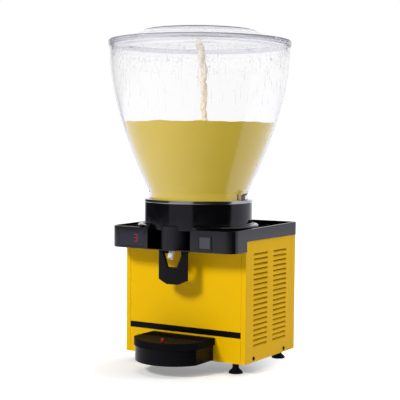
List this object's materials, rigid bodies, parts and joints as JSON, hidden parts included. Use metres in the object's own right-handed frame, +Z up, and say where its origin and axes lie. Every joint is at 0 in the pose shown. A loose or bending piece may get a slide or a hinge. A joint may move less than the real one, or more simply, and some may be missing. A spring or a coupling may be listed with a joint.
{
  "type": "cold drink dispenser",
  "caption": "Counter-top cold drink dispenser: flared clear bowl with lid on a yellow louvred cooling cabinet, black head with push-lever tap, display and switch, and a drip tray.",
  "frame": {"origin": "on the floor under the axis of the bowl", "axes": "+Z up, front (tap and drip tray) towards -Y, +X to the right for someone who faces the front, the switch is on the +X side"},
  "size_m": [0.3698, 0.3698, 0.6748],
  "materials": {
    "yellow_panel": "powder coat, satin",
    "gloss_black": "moulded, high gloss",
    "black_foil": "satin foil",
    "satin_black": "moulded, satin",
    "plated_steel": "zinc plated",
    "stainless": "polished",
    "clear_plastic": "clear polycarbonate",
    "drink": "cloudy liquid",
    "rubber": "moulded",
    "white_plastic": "moulded",
    "silicone": "extruded",
    "foam": "foamed",
    "copper": "drawn tube",
    "motor_metal": "enamel",
    "fin_aluminium": "mill finish",
    "smoked_window": "smoked acrylic",
    "red_light": "lit segment",
    "red_plastic": "moulded",
    "board": "laminate"
  },
  "bodies": {
    "cabinet": {"base_plate": "plated_steel", "front_panel": "yellow_panel", "black_strip": "black_foil", "left_side_panel": "yellow_panel", "right_side_panel": "yellow_panel", "rear_panel": "yellow_panel", "panel_screws": "satin_black", "rear_screws": "satin_black", "cord_gland": "satin_black", "deck_plate": "plated_steel", "top_cover": "gloss_black", "pod_floor": "satin_black", "collar_base": "gloss_black", "collar": "gloss_black", "collar_insulation": "foam", "steel_ring": "stainless", "bowl_clips": "stainless", "evaporator": "stainless", "evaporator_coil": "copper", "bowl_gasket": "rubber", "motor_clamp": "plated_steel", "pump_motor": "motor_metal", "impeller_pin": "stainless", "pump_cover": "white_plastic", "outlet_hose": "silicone", "tap_housing": "gloss_black", "tap_body": "white_plastic", "spout": "white_plastic", "lever_pin": "stainless", "tap_spring": "stainless", "display_window": "smoked_window", "display_digit": "red_light", "display_board": "board", "switch_housing": "satin_black", "rocker_pin": "stainless", "compressor": "motor_metal", "compressor_mounts": "rubber", "condenser": "fin_aluminium", "fan_shroud": "plated_steel", "fan_motor": "motor_metal", "filter_drier": "copper", "refrigerant_pipes": "copper"},
    "bowl": {"bowl": "clear_plastic", "drink": "drink"},
    "lid": {"lid": "clear_plastic"},
    "lever": {"tap_lever": "gloss_black"},
    "plunger": {"tap_plunger": "white_plastic", "plunger_pin": "stainless"},
    "rotor": {"drive_magnet": "motor_metal", "impeller": "white_plastic"},
    "fan": {"condenser_fan": "satin_black"},
    "rocker": {"switch_rocker": "gloss_black"},
    "tray": {"drip_tray": "gloss_black"},
    "grille": {"drip_grille": "gloss_black"},
    "float": {"tray_float": "red_plastic"},
    "foot_fl": {"foot_front_left": "satin_black"},
    "foot_fr": {"foot_front_right": "satin_black"},
    "foot_rl": {"foot_rear_left": "satin_black"},
    "foot_rr": {"foot_rear_right": "satin_black"}
  },
  "joints": [
    {"name": "bowl_lift", "type": "slide", "parent": "cabinet", "child": "bowl", "axis": [0, 0, 1], "range_m": [0, 0.16]},
    {"name": "lid_lift", "type": "slide", "parent": "bowl", "child": "lid", "axis": [0, 0, 1], "range_m": [0, 0.15]},
    {"name": "lever_swing", "type": "hinge", "parent": "cabinet", "child": "lever", "pos_m": [0, -0.084, 0.262], "axis": [1, 0, 0], "range_deg": [0, 15], "stiffness_Nm_per_rad": 0.6, "springref_deg": -14.32},
    {"name": "plunger_lift", "type": "slide", "parent": "cabinet", "child": "plunger", "axis": [0, 0, 1], "range_m": [0, 0.0033], "deforming": ["tap_spring"]},
    {"name": "pump_spin", "type": "hinge", "parent": "cabinet", "child": "rotor", "pos_m": [0, 0, 0.33], "axis": [0, 0, 1], "continuous": true},
    {"name": "fan_spin", "type": "hinge", "parent": "cabinet", "child": "fan", "pos_m": [-0.06, 0.05525, 0.1075], "axis": [1, 0, 0], "continuous": true},
    {"name": "rocker_tilt", "type": "hinge", "parent": "cabinet", "child": "rocker", "pos_m": [0.08138, -0.10734, 0.2593], "axis": [0, 0, 1], "range_deg": [-20, 0]},
    {"name": "tray_lift", "type": "slide", "parent": "cabinet", "child": "tray", "axis": [0, 0, 1], "range_m": [0, 0.011]},
    {"name": "grille_lift", "type": "slide", "parent": "tray", "child": "grille", "axis": [0, 0, 1], "range_m": [0, 0.06]},
    {"name": "float_rise", "type": "slide", "parent": "tray", "child": "float", "axis": [0, 0, 1], "range_m": [0, 0.012]},
    {"name": "foot_fl_turn", "type": "hinge", "parent": "cabinet", "child": "foot_fl", "pos_m": [-0.111, -0.0365, 0.025], "axis": [0, 0, 1], "continuous": true},
    {"name": "foot_fr_turn", "type": "hinge", "parent": "cabinet", "child": "foot_fr", "pos_m": [0.111, -0.0365, 0.025], "axis": [0, 0, 1], "continuous": true},
    {"name": "foot_rl_turn", "type": "hinge", "parent": "cabinet", "child": "foot_rl", "pos_m": [-0.111, 0.147, 0.025], "axis": [0, 0, 1], "continuous": true},
    {"name": "foot_rr_turn", "type": "hinge", "parent": "cabinet", "child": "foot_rr", "pos_m": [0.111, 0.147, 0.025], "axis": [0, 0, 1], "continuous": true}
  ],
  "couplings": [
    {"joint": "plunger_lift", "follows": "lever_swing", "m_per_rad": 0.012}
  ]
}
